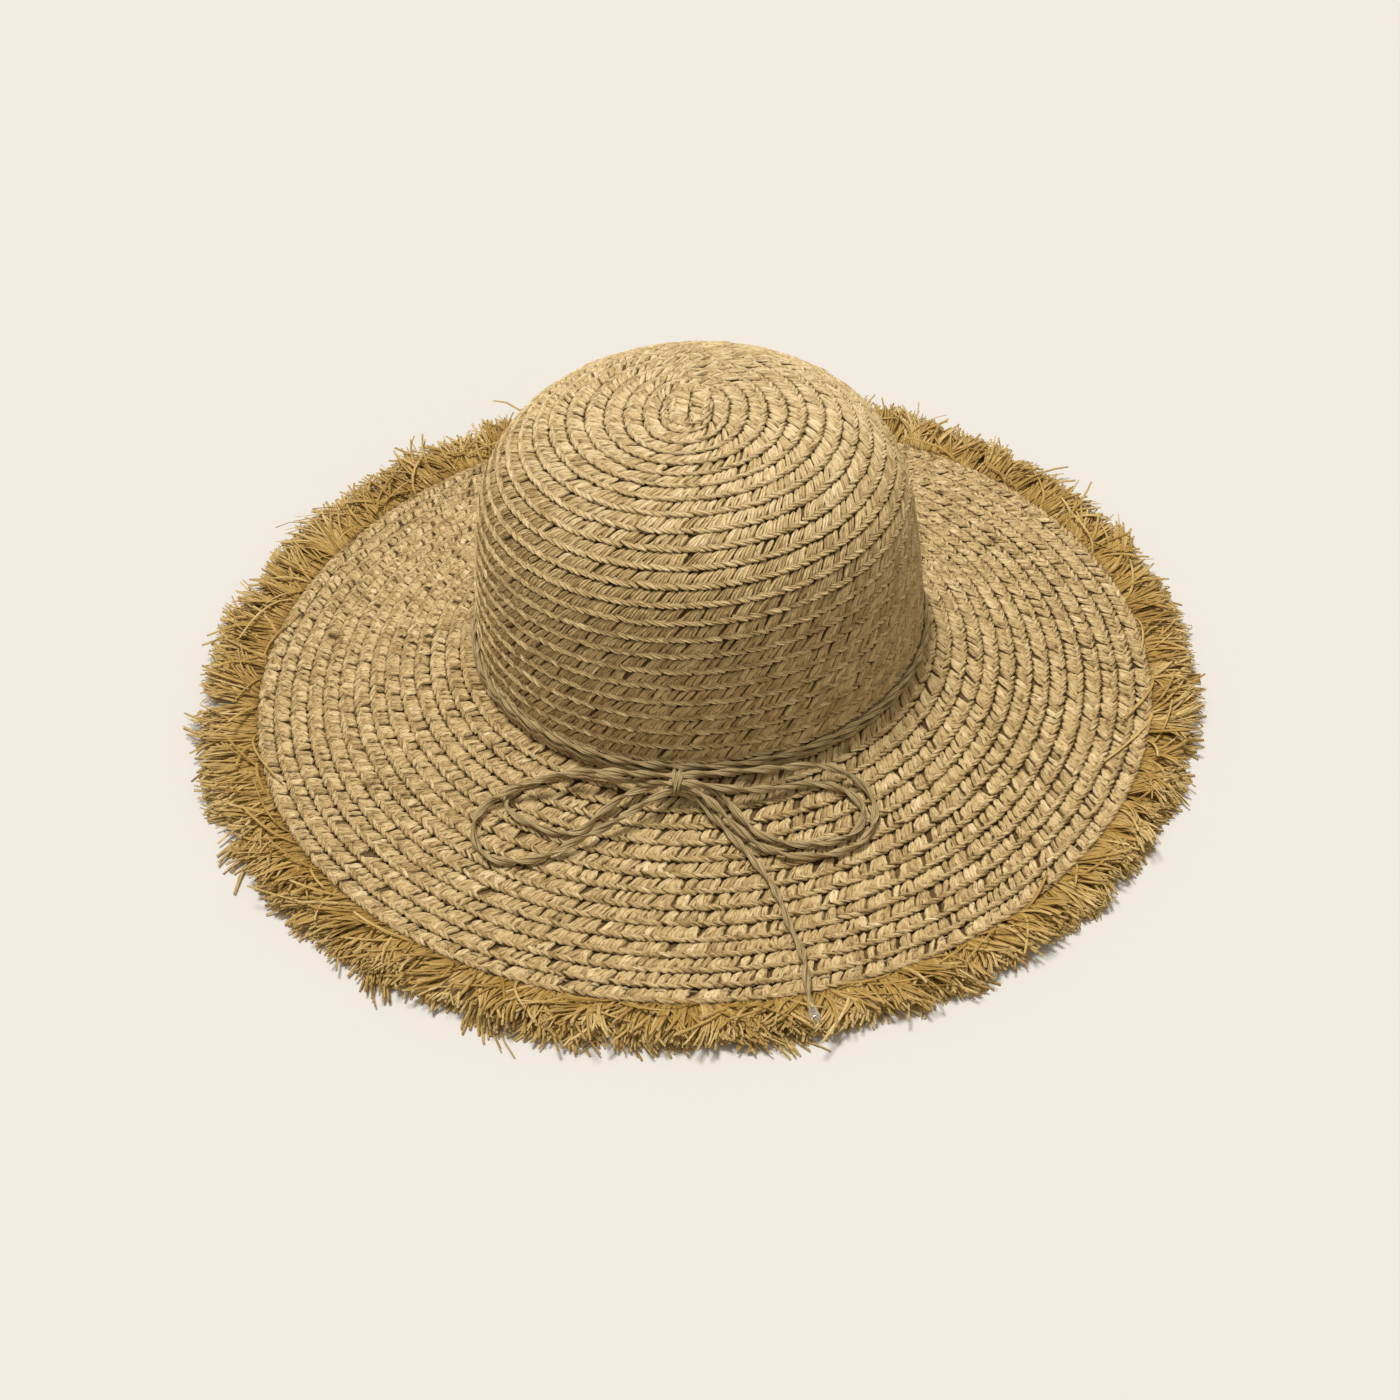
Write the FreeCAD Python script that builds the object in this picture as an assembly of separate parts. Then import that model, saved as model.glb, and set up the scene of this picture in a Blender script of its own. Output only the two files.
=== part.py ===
import FreeCAD, Part
import math
import os

Vector = FreeCAD.Vector

# Straw sun hat: a spiral-sewn braid body with a dome crown and a wide brim, a raffia
# fringe round the brim's edge, a sweatband inside, and a twisted cord band tied in a bow.
# Millimetres, +Z up, the bow faces -Y. The origin is the centre of the plane that the
# fringe and its heading rest on.

# ---- driving dimensions -------------------------------------------------------------
BRAID_THICKNESS = 2.4        # two overlapping layers of flat braid
ROW_PITCH = 6.827            # how much of each sewn row shows
ROW_STEP = 0.9               # how far a row's edge stands over the row below it
TIP_RADIUS = 12.5            # the coil in which the spiral starts
RIM_TOP_Z = 3.75             # the top of the braid at the brim's edge, off the table

# The outer face from the apex to the brim's edge, as arcs that join smoothly:
# (arc length, slope below the horizontal in radians at the arc's end).
OUTLINE_ARCS = [
    (42.9, 0.09),            # the nearly flat tip
    (63.0, 1.42),            # the round shoulder
    (58.9, 1.53),            # the side wall
    (9.0, 0.36),             # the turn into the brim
    (28.6, 0.28),            # the brim's inner slope
    (62.7, 0.00),            # the brim flattening out
]
TOP_ROWS = 8                 # rows counted outwards from the tip coil
SHOULDER_ROWS = 14
CROWN_ROWS = 23
INNER_BRIM_ROWS = 29
BRIM_ROWS = 36
ALL_ROWS = 37

FRINGE_OUTER_R = 211.0
FRINGE_INNER_R = 184.2
FRINGE_ROOT_R = 187.0        # where the strands come out from under the brim's edge
FRINGE_TOP_Z = 4.2
FRINGE_END_Z = 2.6
FRINGE_CREST = 6.0           # from the root out to the skirt's highest ring
FRINGE_ROOT_DROP = 0.4       # how much lower the skirt is at the root
FRINGE_BEVEL = 3.0           # where the flat underside stops, in from the outer edge
FRINGE_BEVEL_Z = 1.0
HEADING_INNER_R = 174.5
HEADING_THICKNESS = 1.2
EDGE_STITCHES = 96
EDGE_STITCH_LENGTH = 4.0
EDGE_STITCH_INSET = 1.5      # from the last row's inner edge
EDGE_STITCH_RISE = 0.35      # off the row's sunken inner edge

SWEATBAND_HEIGHT = 28.0
SWEATBAND_THICKNESS = 0.9
SWEATBAND_GAP = 0.05
SWEATBAND_LOWER_EDGE = 2.0   # along the wall, above the start of the turn
BAND_STITCHES = 90
BAND_STITCH_LENGTH = 3.2
BAND_STITCH_INSET = 1.5      # from the ribbon's lower edge
THREAD = 0.5
THREAD_GAP = 0.05            # between a stitch and the ribbon's face

CORD_D = 2.5
CORD_CLEARANCE = 0.3
LOWER_CORD_BELOW_WALL = 0.6  # past the end of the side wall, in the turn
UPPER_CORD_ABOVE_END = 2.1   # up the side wall from its end
KNOT_CENTRE = Vector(0, -98.2, 28.3)
KNOT_HALF_DEPTH = 5.0
KNOT_HALF_HEIGHT = 4.3
WRAP_WIDTH = 2.1             # one of the knot's two wraps, along X
WRAP_FILLET = 0.9
BEAD_R = 2.3
BEAD_LENGTH = 7.0
ARC_SHARE = 0.45             # an arc's tangent length as a share of its shorter run

# Where each loose cord goes, knot end first. The arcs pass inside these points.
CORD_ROUTES = {
    "bow_loop_left_outer": [
        (-1.5, -97.8, 31.0), (-10.2, -98.4, 31.3), (-23.8, -96.0, 30.2), (-39.5, -93.8, 27.8),
        (-52.7, -96.1, 25.2), (-66.6, -97.2, 18.8), (-76.1, -101.6, 14.1), (-78.2, -111.5, 11.2),
        (-71.8, -123.2, 9.9), (-60.2, -126.6, 10.4), (-47.1, -124.5, 12.5), (-36.5, -119.7, 16.6),
        (-25.7, -114.4, 19.2), (-15.4, -109.4, 23.4), (-8.0, -104.1, 26.2), (-1.5, -101.3, 26.9),
    ],
    "bow_loop_left_inner": [
        (-1.5, -100.6, 29.9), (-10.3, -99.4, 27.4), (-25.6, -93.9, 24.6), (-38.6, -90.2, 22.9),
        (-50.2, -90.3, 20.6), (-59.5, -92.3, 18.3), (-65.6, -96.0, 16.2), (-66.3, -101.4, 15.0),
        (-60.6, -106.8, 14.6), (-52.0, -111.2, 14.5), (-42.7, -114.6, 14.8), (-34.5, -113.8, 15.7),
        (-29.3, -107.0, 18.5), (-20.6, -101.4, 23.2), (-11.0, -98.6, 25.6), (-1.5, -98.2, 28.3),
    ],
    "bow_loop_right_outer": [
        (1.5, -97.8, 31.0), (8.3, -97.0, 31.4), (21.2, -94.6, 31.0), (36.1, -91.4, 30.2),
        (49.7, -86.9, 28.6), (60.2, -85.0, 25.0), (68.9, -86.3, 19.2), (74.3, -93.2, 15.6),
        (73.6, -104.6, 13.2), (67.6, -113.6, 12.2), (56.2, -118.8, 12.4), (42.4, -120.6, 13.2),
        (30.8, -118.0, 15.9), (21.9, -111.9, 20.0), (14.2, -105.2, 24.0), (7.6, -101.5, 26.7),
        (1.5, -100.8, 27.5),
    ],
    "bow_loop_right_inner": [
        (1.5, -100.6, 30.2), (10.1, -100.2, 29.0), (19.7, -100.0, 27.0), (32.6, -97.1, 24.3),
        (45.4, -90.6, 22.0), (57.8, -88.3, 19.9), (67.0, -91.7, 17.1), (70.6, -98.7, 14.9),
        (67.0, -107.3, 13.4), (60.2, -112.0, 13.3), (51.0, -114.8, 13.7), (39.9, -115.3, 14.7),
        (29.3, -112.0, 16.8), (22.4, -105.4, 20.4), (16.0, -100.2, 24.8), (9.1, -97.9, 27.5),
        (1.5, -98.2, 28.3),
    ],
    "bow_tail": [
        (0.5, -99.2, 25.1), (6.1, -100.8, 23.6), (11.8, -105.2, 20.1), (17.9, -110.9, 17.6),
        (25.4, -118.2, 14.9), (32.4, -126.0, 12.4), (39.6, -136.0, 9.9), (43.4, -146.9, 8.0),
        (47.9, -157.0, 6.7), (51.2, -165.4, 6.1), (52.0, -176.5, 5.9), (54.3, -186.7, 6.3),
    ],
}


# ---- the outline --------------------------------------------------------------------
def outline_arcs():
    """Each arc's start (distance, radius, height, slope), bend and length, and the rim's height."""
    arcs = []
    distance, radius, height, slope = 0.0, 0.0, 0.0, 0.0
    for length, end_slope in OUTLINE_ARCS:
        bend = (end_slope - slope) / length
        arcs.append((distance, radius, height, slope, bend, length))
        radius += (math.sin(end_slope) - math.sin(slope)) / bend
        height += (math.cos(end_slope) - math.cos(slope)) / bend
        distance += length
        slope = end_slope
    return arcs, height


ARCS, RIM_BELOW_APEX = outline_arcs()
APEX_Z = RIM_TOP_Z - RIM_BELOW_APEX


def outer_point(distance, inward=0.0):
    """The (radius, height) that far along the outer face, and inward from it."""
    arc = [a for a in ARCS if a[0] <= max(distance, 0.0) + 1e-9][-1]
    start, radius, height, slope, bend, _ = arc
    here = slope + bend * (distance - start)
    r = radius + (math.sin(here) - math.sin(slope)) / bend
    z = height + (math.cos(here) - math.cos(slope)) / bend + APEX_Z
    return r - inward * math.sin(here), z - inward * math.cos(here)


def row_edge(row):
    """How far along the outer face a row's lower edge lies."""
    return TIP_RADIUS + row * ROW_PITCH


WALL_END = sum(length for length, _ in OUTLINE_ARCS[:3])


# ---- solids of revolution -----------------------------------------------------------
def revolve(points):
    """A ring from the (radius, height) corners of its section."""
    section = [Vector(r, 0, z) for r, z in points]
    wire = Part.makePolygon(section + [section[0]])
    return Part.Face(wire).revolve(Vector(0, 0, 0), Vector(0, 0, 1), 360)


def braid_zone(first_row, last_row):
    """The sewn rows from first_row to last_row, each one's lower edge standing over the next."""
    outer, inner = [], []
    for row in range(first_row, last_row + 1):
        outer.append(outer_point(row_edge(row - 1), ROW_STEP))
        outer.append(outer_point(row_edge(row)))
        inner.append(outer_point(row_edge(row - 1), BRAID_THICKNESS))
    inner.append(outer_point(row_edge(last_row), BRAID_THICKNESS))
    return revolve(outer + inner[::-1])


def make_crown_tip():
    """The oval coil at the start of the spiral, as a shallow button."""
    rim_r, rim_z = outer_point(TIP_RADIUS)
    low_r, low_z = outer_point(TIP_RADIUS, BRAID_THICKNESS)
    return revolve([(0, APEX_Z), (rim_r, rim_z), (low_r, low_z), (0, APEX_Z - BRAID_THICKNESS)])


def make_sweatband():
    """A ribbon that stands against the inside of the side wall."""
    near = BRAID_THICKNESS + SWEATBAND_GAP
    far = near + SWEATBAND_THICKNESS
    low = WALL_END - SWEATBAND_LOWER_EDGE
    stations = [low - SWEATBAND_HEIGHT * k / 4 for k in range(5)]
    outer = [outer_point(s, near) for s in stations]
    inner = [outer_point(s, far) for s in stations]
    return revolve(outer + inner[::-1])


def make_fringe():
    """The skirt of raffia strands, closed up as one flat-bottomed ring."""
    under = HEADING_THICKNESS
    return revolve([
        (FRINGE_INNER_R, 0), (FRINGE_OUTER_R - FRINGE_BEVEL, 0), (FRINGE_OUTER_R, FRINGE_BEVEL_Z),
        (FRINGE_OUTER_R, FRINGE_END_Z), (FRINGE_ROOT_R + FRINGE_CREST, FRINGE_TOP_Z),
        (FRINGE_ROOT_R, FRINGE_TOP_Z - FRINGE_ROOT_DROP), (FRINGE_ROOT_R, under),
        (FRINGE_INNER_R, under),
    ])


def make_fringe_heading():
    """The flat tape that the strands are caught in, sewn under the brim's last rows."""
    return revolve([
        (HEADING_INNER_R, 0), (FRINGE_INNER_R, 0),
        (FRINGE_INNER_R, HEADING_THICKNESS), (HEADING_INNER_R, HEADING_THICKNESS),
    ])


def stitches(count, radius, height, long):
    """A ring of short thread stitches that lie along the circle."""
    bars = []
    for k in range(count):
        bar = Part.makeBox(THREAD, long, THREAD, Vector(radius, -long / 2, height))
        bar.rotate(Vector(0, 0, 0), Vector(0, 0, 1), 360.0 * k / count)
        bars.append(bar)
    return Part.makeCompound(bars)


def make_sweatband_stitching():
    """Stitches along the ribbon's lower edge, on its inner face."""
    inward = BRAID_THICKNESS + SWEATBAND_GAP + SWEATBAND_THICKNESS + THREAD + THREAD_GAP
    radius, height = outer_point(WALL_END - SWEATBAND_LOWER_EDGE - BAND_STITCH_INSET, inward)
    return stitches(BAND_STITCHES, radius, height, BAND_STITCH_LENGTH)


def make_edge_stitching():
    """Stitches through the last row that hold the fringe's heading."""
    radius, height = outer_point(row_edge(BRIM_ROWS) + EDGE_STITCH_INSET)
    return stitches(EDGE_STITCHES, radius, height - ROW_STEP + EDGE_STITCH_RISE, EDGE_STITCH_LENGTH)


# ---- the cord band and its bow ------------------------------------------------------
def band_cord(along_wall):
    """A cord right round the crown, lying against the wall that far below the apex."""
    radius, height = outer_point(along_wall, -(CORD_D / 2 + CORD_CLEARANCE))
    return Part.makeTorus(radius, CORD_D / 2, Vector(0, 0, height))


def cord_path(points):
    """Straight runs joined by tangent arcs, each arc as large as its two runs allow."""
    corners = [Vector(*p) for p in points]
    edges, radii = [], []
    here = corners[0]
    for before, corner, after in zip(corners, corners[1:], corners[2:]):
        back, ahead = before - corner, after - corner
        tangent = ARC_SHARE * min(back.Length, ahead.Length)
        back.normalize()
        ahead.normalize()
        turn = math.pi - back.getAngle(ahead)
        radii.append(tangent / math.tan(turn / 2))
        start, end = corner + back * tangent, corner + ahead * tangent
        middle = back + ahead
        middle.normalize()
        radius = radii[-1]
        top = corner + middle * (radius / math.cos(turn / 2) - radius)
        edges.append(Part.LineSegment(here, start).toShape())
        edges.append(Part.Arc(start, top, end).toShape())
        here = end
    edges.append(Part.LineSegment(here, corners[-1]).toShape())
    return Part.Wire(edges), radii


def make_cord(name):
    """A loose cord's tube along its route; prints its arcs' radii and checks its volume."""
    path, radii = cord_path(CORD_ROUTES[name])
    first, second = [Vector(*p) for p in CORD_ROUTES[name][:2]]
    disc = Part.Wire(Part.makeCircle(CORD_D / 2, first, second - first))
    tube = path.makePipeShell([disc], True, False)
    expected = math.pi * (CORD_D / 2) ** 2 * path.Length
    print(name, "length %.1f" % path.Length, "volume ratio %.4f" % (tube.Volume / expected))
    print("   radii", [round(r, 1) for r in radii])
    return tube


def make_knot():
    """The two wraps that pinch the bow in its middle, side by side."""
    wraps = []
    for side in (-1, 1):
        low_x = -WRAP_WIDTH if side < 0 else 0.0
        oval = Part.Ellipse(Vector(0, 0, 0), KNOT_HALF_DEPTH, KNOT_HALF_HEIGHT)
        face = Part.Face(Part.Wire(oval.toShape()))
        face.rotate(Vector(0, 0, 0), Vector(1, 0, 0), 90)
        face.rotate(Vector(0, 0, 0), Vector(0, 0, 1), 90)
        face.translate(KNOT_CENTRE + Vector(low_x, 0, 0))
        wrap = face.extrude(Vector(WRAP_WIDTH, 0, 0))
        wraps.append(wrap.makeFillet(WRAP_FILLET, wrap.Edges))
    return wraps[0].fuse(wraps[1])


def make_bead():
    """The clear drop that finishes the tail: a short neck, then a round end."""
    before, end = [Vector(*p) for p in CORD_ROUTES["bow_tail"][-2:]]
    neck, shoulder = CORD_D / 2, BEAD_LENGTH - BEAD_R
    profile = [
        Part.LineSegment(Vector(0, 0, 0), Vector(neck, 0, 0)).toShape(),
        Part.LineSegment(Vector(neck, 0, 0), Vector(BEAD_R, 0, shoulder)).toShape(),
        Part.Arc(
            Vector(BEAD_R, 0, shoulder),
            Vector(BEAD_R * math.sqrt(0.5), 0, shoulder + BEAD_R * math.sqrt(0.5)),
            Vector(0, 0, BEAD_LENGTH),
        ).toShape(),
        Part.LineSegment(Vector(0, 0, BEAD_LENGTH), Vector(0, 0, 0)).toShape(),
    ]
    drop = Part.Face(Part.Wire(profile)).revolve(Vector(0, 0, 0), Vector(0, 0, 1), 360)
    drop.Placement = FreeCAD.Placement(end, FreeCAD.Rotation(Vector(0, 0, 1), end - before))
    return drop


# ---- all the nodes ------------------------------------------------------------------
def build_nodes():
    nodes = {
        "crown_tip": make_crown_tip(),
        "crown_top": braid_zone(1, TOP_ROWS),
        "crown_shoulder": braid_zone(TOP_ROWS + 1, SHOULDER_ROWS),
        "crown_side": braid_zone(SHOULDER_ROWS + 1, CROWN_ROWS),
        "brim_inner": braid_zone(CROWN_ROWS + 1, INNER_BRIM_ROWS),
        "brim_outer": braid_zone(INNER_BRIM_ROWS + 1, BRIM_ROWS),
        "brim_edge_row": braid_zone(BRIM_ROWS + 1, ALL_ROWS),
        "edge_stitching": make_edge_stitching(),
        "fringe_heading": make_fringe_heading(),
        "raffia_fringe": make_fringe(),
        "sweatband": make_sweatband(),
        "sweatband_stitching": make_sweatband_stitching(),
        "band_cord_lower": band_cord(WALL_END + LOWER_CORD_BELOW_WALL),
        "band_cord_upper": band_cord(WALL_END - UPPER_CORD_ABOVE_END),
        "bow_knot": make_knot(),
        "tail_bead": make_bead(),
    }
    for name in CORD_ROUTES:
        nodes[name] = make_cord(name)
    return nodes


os.makedirs("parts", exist_ok=True)
for node, shape in build_nodes().items():
    shape.exportStep("parts/%s.step" % node)
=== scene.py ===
import math

import bpy
import numpy as np
from mathutils import Matrix, Vector


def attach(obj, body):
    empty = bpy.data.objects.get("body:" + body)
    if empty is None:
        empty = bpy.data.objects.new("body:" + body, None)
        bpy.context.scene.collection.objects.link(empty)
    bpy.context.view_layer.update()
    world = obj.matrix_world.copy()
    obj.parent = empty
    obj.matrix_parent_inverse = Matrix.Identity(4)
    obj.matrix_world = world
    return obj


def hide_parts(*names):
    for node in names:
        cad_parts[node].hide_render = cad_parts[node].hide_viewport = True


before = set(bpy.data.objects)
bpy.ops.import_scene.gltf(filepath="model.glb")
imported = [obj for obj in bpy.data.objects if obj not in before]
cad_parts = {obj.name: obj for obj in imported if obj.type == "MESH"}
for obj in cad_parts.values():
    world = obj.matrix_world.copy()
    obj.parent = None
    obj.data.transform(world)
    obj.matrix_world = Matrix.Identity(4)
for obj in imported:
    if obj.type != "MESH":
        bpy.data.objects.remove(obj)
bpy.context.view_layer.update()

# Straw sun hat. Everything is in metres, in the CAD's frame: +Z up, the bow faces -Y.
MM = 0.001

# ---- driving dimensions, the same as the CAD's (millimetres) -------------------------
ROW_PITCH = 6.827
ROW_STEP = 0.9
TIP_RADIUS = 12.5
RIM_TOP_Z = 3.75
OUTLINE_ARCS = [
    (42.9, 0.09), (63.0, 1.42), (58.9, 1.53), (9.0, 0.36), (28.6, 0.28), (62.7, 0.00),
]
WALL_END = sum(length for length, _ in OUTLINE_ARCS[:3])
LAST_ROW = 37
LAST_TURN = 37.56            # where the strip's end is tucked in, in turns from the tip
CORD_D = 2.5
CORD_CLEARANCE = 0.3
LOWER_CORD_BELOW_WALL = 0.6
UPPER_CORD_ABOVE_END = 2.1
KNOT_CENTRE = (0.0, -98.2, 28.3)

CORD_ROUTES = {
    "bow_loop_left_outer": [
        (-1.5, -97.8, 31.0), (-10.2, -98.4, 31.3), (-23.8, -96.0, 30.2), (-39.5, -93.8, 27.8),
        (-52.7, -96.1, 25.2), (-66.6, -97.2, 18.8), (-76.1, -101.6, 14.1), (-78.2, -111.5, 11.2),
        (-71.8, -123.2, 9.9), (-60.2, -126.6, 10.4), (-47.1, -124.5, 12.5), (-36.5, -119.7, 16.6),
        (-25.7, -114.4, 19.2), (-15.4, -109.4, 23.4), (-8.0, -104.1, 26.2), (-1.5, -101.3, 26.9),
    ],
    "bow_loop_left_inner": [
        (-1.5, -100.6, 29.9), (-10.3, -99.4, 27.4), (-25.6, -93.9, 24.6), (-38.6, -90.2, 22.9),
        (-50.2, -90.3, 20.6), (-59.5, -92.3, 18.3), (-65.6, -96.0, 16.2), (-66.3, -101.4, 15.0),
        (-60.6, -106.8, 14.6), (-52.0, -111.2, 14.5), (-42.7, -114.6, 14.8), (-34.5, -113.8, 15.7),
        (-29.3, -107.0, 18.5), (-20.6, -101.4, 23.2), (-11.0, -98.6, 25.6), (-1.5, -98.2, 28.3),
    ],
    "bow_loop_right_outer": [
        (1.5, -97.8, 31.0), (8.3, -97.0, 31.4), (21.2, -94.6, 31.0), (36.1, -91.4, 30.2),
        (49.7, -86.9, 28.6), (60.2, -85.0, 25.0), (68.9, -86.3, 19.2), (74.3, -93.2, 15.6),
        (73.6, -104.6, 13.2), (67.6, -113.6, 12.2), (56.2, -118.8, 12.4), (42.4, -120.6, 13.2),
        (30.8, -118.0, 15.9), (21.9, -111.9, 20.0), (14.2, -105.2, 24.0), (7.6, -101.5, 26.7),
        (1.5, -100.8, 27.5),
    ],
    "bow_loop_right_inner": [
        (1.5, -100.6, 30.2), (10.1, -100.2, 29.0), (19.7, -100.0, 27.0), (32.6, -97.1, 24.3),
        (45.4, -90.6, 22.0), (57.8, -88.3, 19.9), (67.0, -91.7, 17.1), (70.6, -98.7, 14.9),
        (67.0, -107.3, 13.4), (60.2, -112.0, 13.3), (51.0, -114.8, 13.7), (39.9, -115.3, 14.7),
        (29.3, -112.0, 16.8), (22.4, -105.4, 20.4), (16.0, -100.2, 24.8), (9.1, -97.9, 27.5),
        (1.5, -98.2, 28.3),
    ],
    "bow_tail": [
        (0.5, -99.2, 25.1), (6.1, -100.8, 23.6), (11.8, -105.2, 20.1), (17.9, -110.9, 17.6),
        (25.4, -118.2, 14.9), (32.4, -126.0, 12.4), (39.6, -136.0, 9.9), (43.4, -146.9, 8.0),
        (47.9, -157.0, 6.7), (51.2, -165.4, 6.1), (52.0, -176.5, 5.9), (54.3, -186.7, 6.3),
    ],
}


# ---- camera --------------------------------------------------------------------------
CAMERA_PLACE = (75.5, -652.9, 556.8)
CAMERA_AIM = (-1.72, -0.20, -16.92)
CAMERA_ROLL = -0.048
CAMERA_LENS = 52.81


def make_camera():
    data = bpy.data.cameras.new("camera")
    data.sensor_width = 36.0
    data.lens = CAMERA_LENS
    data.clip_start, data.clip_end = 0.05, 20.0
    cam = bpy.data.objects.new("camera", data)
    bpy.context.scene.collection.objects.link(cam)
    place = Vector(CAMERA_PLACE) * MM
    aim = Vector(CAMERA_AIM) * MM
    turn = (aim - place).to_track_quat("-Z", "Y").to_matrix().to_4x4()
    roll = Matrix.Rotation(CAMERA_ROLL, 4, "Z")
    cam.matrix_world = Matrix.Translation(place) @ turn @ roll
    bpy.context.scene.camera = cam


# ---- the outline ---------------------------------------------------------------------
def outline_table():
    """Each arc's start distance, radius, height, slope and bend, from the apex down."""
    rows, distance, radius, height, slope = [], 0.0, 0.0, 0.0, 0.0
    for length, end in OUTLINE_ARCS:
        bend = (end - slope) / length
        rows.append((distance, radius, height, slope, bend))
        radius += (math.sin(end) - math.sin(slope)) / bend
        height += (math.cos(end) - math.cos(slope)) / bend
        distance += length
        slope = end
    return np.array(rows), RIM_TOP_Z - height


ARCS, APEX_Z = outline_table()


def outline(distance):
    """(radius, height, slope) that far along the outer face, in millimetres, for arrays."""
    d = np.maximum(distance, 0.0)
    k = np.clip(np.searchsorted(ARCS[:, 0], d, side="right") - 1, 0, len(ARCS) - 1)
    start, radius, height, slope, bend = ARCS[k].T if d.ndim == 1 else np.moveaxis(ARCS[k], -1, 0)
    here = slope + bend * (d - start)
    r = radius + (np.sin(here) - np.sin(slope)) / bend
    z = height + (np.cos(here) - np.cos(slope)) / bend + APEX_Z
    return r, z, here


# ---- meshes --------------------------------------------------------------------------
def new_mesh(name, points, quads, uv=None, values=None, smooth=True):
    """A mesh object from arrays in millimetres; values are named numbers per point."""
    me = bpy.data.meshes.new(name)
    me.vertices.add(len(points))
    me.vertices.foreach_set("co", (points * MM).astype(np.float32).ravel())
    me.loops.add(quads.size)
    me.loops.foreach_set("vertex_index", quads.astype(np.int32).ravel())
    me.polygons.add(len(quads))
    me.polygons.foreach_set("loop_start", np.arange(0, quads.size, 4, dtype=np.int32))
    me.update(calc_edges=True)
    if uv is not None:
        layer = me.uv_layers.new(name="strand")
        layer.data.foreach_set("uv", uv[quads.ravel()].astype(np.float32).ravel())
    for key, numbers in (values or {}).items():
        me.attributes.new(key, "FLOAT", "POINT").data.foreach_set(
            "value", numbers.astype(np.float32))
    me.polygons.foreach_set("use_smooth", np.full(len(quads), smooth))
    me.validate()
    obj = bpy.data.objects.new(name, me)
    bpy.context.scene.collection.objects.link(obj)
    return obj


def ring_quads(stations, ring, closed_path=False):
    """Quads of one tube: stations rings of ring points, with flat ends unless closed."""
    last = stations if closed_path else stations - 1
    i = np.arange(last)[:, None]
    j = np.arange(ring)[None, :]
    a = i * ring + j
    b = i * ring + (j + 1) % ring
    up = ((i + 1) % stations) * ring
    quads = [np.stack([a, b, up + (j + 1) % ring, up + j], -1).reshape(-1, 4)]
    if not closed_path:
        half = ring // 2
        for base, flip in ((0, True), ((stations - 1) * ring, False)):
            cap = [[base + m, base + m + 1, base + ring - m - 2, base + ring - m - 1]
                   for m in range(half - 1)]
            cap = np.array(cap)
            quads.append(cap[:, ::-1] if flip else cap)
    return np.concatenate(quads)


def repeat_quads(quads, copies, points_each):
    return (quads[None] + (np.arange(copies) * points_each)[:, None, None]).reshape(-1, 4)


def slab_ring(top, bottom):
    """Joins a top and a bottom sheet (copies, stations, across) into rings."""
    return np.concatenate([top, bottom[:, :, ::-1]], axis=2)


def finish_piece(obj, material, body, slot, *nodes):
    """Material, body and the CAD nodes that a piece stands for; slot is not used."""
    obj.data.materials.append(material)
    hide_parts(*nodes)
    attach(obj, body)


# ---- the spiral strip ----------------------------------------------------------------
STRIP_WIDTH = 10.0
HIDDEN_WIDTH = STRIP_WIDTH - ROW_PITCH   # tucked under the row before
UNIT = 5.7                   # one plait along the strip
START_TURN = -0.6
OVAL_AXIS = math.radians(-97)
OVAL_STRETCH = 0.26
OVAL_REACH = 26.0
STEADY_TURN = 34.0           # from here rows keep to rings, and step out over a short jog
STEADY_BLEND = 6.0
JOG_START = 0.40             # in turns from the row's middle
JOG_LONG = 0.10
HIDDEN_SLOPE = 0.75          # how much deeper the hidden part ends, in row steps


def strip_edge(turn):
    """How far down the outline the strip's outer edge lies, after that many turns."""
    part = turn - np.round(turn)
    jog = np.sign(part) * 0.5 * np.clip((np.abs(part) - JOG_START) / JOG_LONG, 0, 1)
    even = np.clip((STEADY_TURN - turn) / STEADY_BLEND, 0, 1)
    rows = np.minimum(turn + (1 - even) * (jog - part), LAST_ROW)
    return TIP_RADIUS + ROW_PITCH * rows


def strip_length_table():
    turn = np.arange(START_TURN, LAST_TURN + 0.02, 1 / 720)
    radius = outline(strip_edge(turn) - STRIP_WIDTH / 3)[0]
    steps = 2 * math.pi * radius[:-1] * np.diff(turn)
    return turn, np.concatenate([[0], np.cumsum(np.maximum(steps, 1e-6))])


TURNS, LENGTHS = strip_length_table()


def on_strip(u, v, w):
    """Points at u along the strip, v across it from its inner edge, and w off its face."""
    turn = np.interp(u, LENGTHS, TURNS)
    distance = strip_edge(turn) - (STRIP_WIDTH - v)
    r, z, slope = outline(np.maximum(distance, 0.15))
    hidden = -1 - HIDDEN_SLOPE * (HIDDEN_WIDTH - v) / HIDDEN_WIDTH
    lean = np.where(v > HIDDEN_WIDTH, (v - HIDDEN_WIDTH) / ROW_PITCH - 1, hidden)
    lift = w + ROW_STEP * lean
    r, z = r + lift * np.sin(slope), z + lift * np.cos(slope)
    angle = -math.pi / 2 - 2 * math.pi * turn
    stretch = 1 + OVAL_STRETCH * np.exp(-(r / OVAL_REACH) ** 2) * np.cos(2 * (angle - OVAL_AXIS))
    r = r * stretch
    return np.stack([r * np.cos(angle), r * np.sin(angle), z], -1)


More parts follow.
